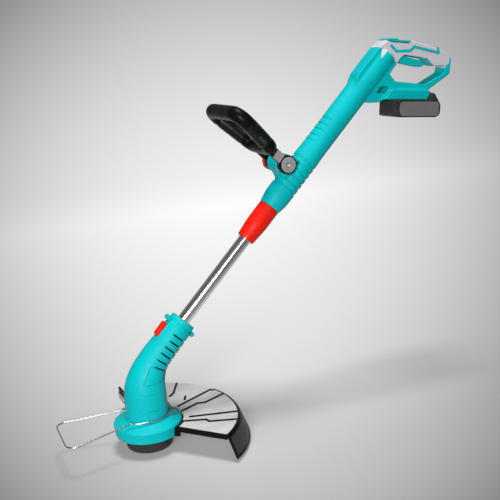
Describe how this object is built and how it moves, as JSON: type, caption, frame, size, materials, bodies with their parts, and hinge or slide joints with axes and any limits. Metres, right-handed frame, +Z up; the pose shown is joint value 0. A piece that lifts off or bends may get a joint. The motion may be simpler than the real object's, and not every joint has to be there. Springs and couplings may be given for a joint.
{
  "type": "cordless string trimmer",
  "caption": "Battery string trimmer with a telescoping shaft, swivelling motor head, line spool, debris guard, wire plant guard, loop front handle and rear grip.",
  "frame": {"origin": "centre of the flat underside of the bump button, where the spool's spin axis meets the ground", "axes": "+Z up along the spool's spin axis, +X back towards the user's rear handle, +Y to the user's right; the shaft climbs at 45 degrees in the XZ plane"},
  "size_m": [0.8634, 0.3376, 0.7278],
  "materials": {
    "teal_plastic": "satin moulded",
    "white_plastic": "satin moulded",
    "red_plastic": "satin moulded",
    "black_plastic": "gloss",
    "black_rubber": "soft overmould",
    "dark_grey_plastic": "fine texture",
    "smoked_sheet": "clear smoky sheet",
    "aluminium_tube": "drawn and polished",
    "steel": "plain",
    "chrome_wire": "bright plated wire",
    "silver_paint": "silver grey",
    "nylon_line": "satin",
    "cell_wrap": null,
    "lead_jacket": "plain"
  },
  "bodies": {
    "root": {"housing_left": "teal_plastic", "housing_right": "teal_plastic", "grip_cover_left": "white_plastic", "grip_cover_right": "white_plastic", "accent_stripe_left": "teal_plastic", "accent_stripe_right": "teal_plastic", "switch_unit": "black_plastic", "terminal_block": "black_plastic", "trigger_pin": "steel", "tube_collet": "black_plastic", "pivot_bolt": "steel", "housing_screw_1": "steel", "housing_screw_2": "steel", "housing_screw_3": "steel"},
    "trigger": {"trigger": "teal_plastic"},
    "lock_off": {"lock_off_button": "teal_plastic"},
    "battery": {"battery_case_lower": "dark_grey_plastic", "battery_case_upper": "dark_grey_plastic", "battery_cell_1": "cell_wrap", "battery_cell_2": "cell_wrap", "battery_cell_3": "cell_wrap", "battery_cell_4": "cell_wrap", "battery_cell_5": "cell_wrap"},
    "latch": {"battery_latch_button": "red_plastic"},
    "collar": {"clamp_collar": "red_plastic"},
    "tube": {"shaft_tube": "aluminium_tube", "tube_plug": "black_plastic", "swivel_sleeve": "black_plastic", "motor_lead": "lead_jacket"},
    "aux_handle": {"aux_handle_frame": "black_plastic", "aux_grip_left": "black_rubber", "aux_grip_right": "black_rubber", "arm_plate": "silver_paint", "pivot_cap": "silver_paint"},
    "knob": {"clamp_knob": "red_plastic"},
    "head": {"head_shell_left": "teal_plastic", "head_shell_right": "teal_plastic", "deck_skirt": "teal_plastic", "motor_can": "steel", "motor_bearing": "steel", "guard_plate": "smoked_sheet", "guard_frame": "black_plastic", "cutter_blade": "steel", "blade_screw_1": "steel", "blade_screw_2": "steel", "guard_screw_1": "steel", "guard_screw_2": "steel", "head_screw_1": "steel", "head_screw_2": "steel"},
    "release": {"head_release_button": "red_plastic"},
    "spool": {"motor_rotor": "steel", "spool_hub": "dark_grey_plastic", "spool_cover": "dark_grey_plastic", "line_eyelet_1": "steel", "line_eyelet_2": "steel"},
    "bump": {"bump_button": "dark_grey_plastic", "spool_reel": "black_plastic", "wound_line": "nylon_line", "spool_spring": "steel"},
    "wire_guard": {"plant_guard_wire": "chrome_wire"}
  },
  "joints": [
    {"name": "trigger_press", "type": "hinge", "parent": "root", "child": "trigger", "pos_m": [0.58326, 0, 0.69646], "axis": [0, -1, 0], "range_deg": [0, 6], "stiffness_Nm_per_rad": 0.4, "springref_deg": -5.73},
    {"name": "lock_off_press", "type": "slide", "parent": "root", "child": "lock_off", "axis": [0, 0, -1], "range_m": [0, 0.0012], "stiffness_N_per_m": 400, "springref_m": -0.002},
    {"name": "battery_slide", "type": "slide", "parent": "root", "child": "battery", "axis": [0.9962, 0, -0.0872], "range_m": [0, 0.1]},
    {"name": "latch_press", "type": "slide", "parent": "battery", "child": "latch", "axis": [-0.0872, 0, -0.9962], "range_m": [0, 0.003], "stiffness_N_per_m": 600, "springref_m": -0.002},
    {"name": "collar_turn", "type": "hinge", "parent": "root", "child": "collar", "pos_m": [0.22557, 0, 0.37257], "axis": [0.7071, 0, 0.7071], "range_deg": [0, 90]},
    {"name": "tube_slide", "type": "slide", "parent": "root", "child": "tube", "axis": [-0.7071, 0, -0.7071], "range_m": [-0.06, 0.12]},
    {"name": "head_swivel", "type": "hinge", "parent": "tube", "child": "head", "pos_m": [0.08839, 0, 0.23539], "axis": [0.7071, 0, 0.7071], "range_deg": [-90, 90]},
    {"name": "head_release_press", "type": "slide", "parent": "head", "child": "release", "axis": [0.7071, 0, -0.7071], "range_m": [0, 0.002], "stiffness_N_per_m": 600, "springref_m": -0.002},
    {"name": "spool_spin", "type": "hinge", "parent": "head", "child": "spool", "pos_m": [0, 0, 0.02], "axis": [0, 0, 1], "continuous": true},
    {"name": "bump_press", "type": "slide", "parent": "spool", "child": "bump", "axis": [0, 0, 1], "range_m": [0, 0.004], "stiffness_N_per_m": 1200, "springref_m": -0.004, "deforming": ["spool_spring"]},
    {"name": "aux_handle_pivot", "type": "hinge", "parent": "root", "child": "aux_handle", "pos_m": [0.30901, 0, 0.50904], "axis": [0, 1, 0], "range_deg": [-60, 60]},
    {"name": "knob_turn", "type": "hinge", "parent": "root", "child": "knob", "pos_m": [0.30901, 0.0348, 0.50904], "axis": [0, 1, 0], "range_deg": [0, 180]},
    {"name": "wire_guard_fold", "type": "hinge", "parent": "head", "child": "wire_guard", "pos_m": [0.05039, 0, 0.0678], "axis": [0, 1, 0], "range_deg": [0, 40]}
  ]
}
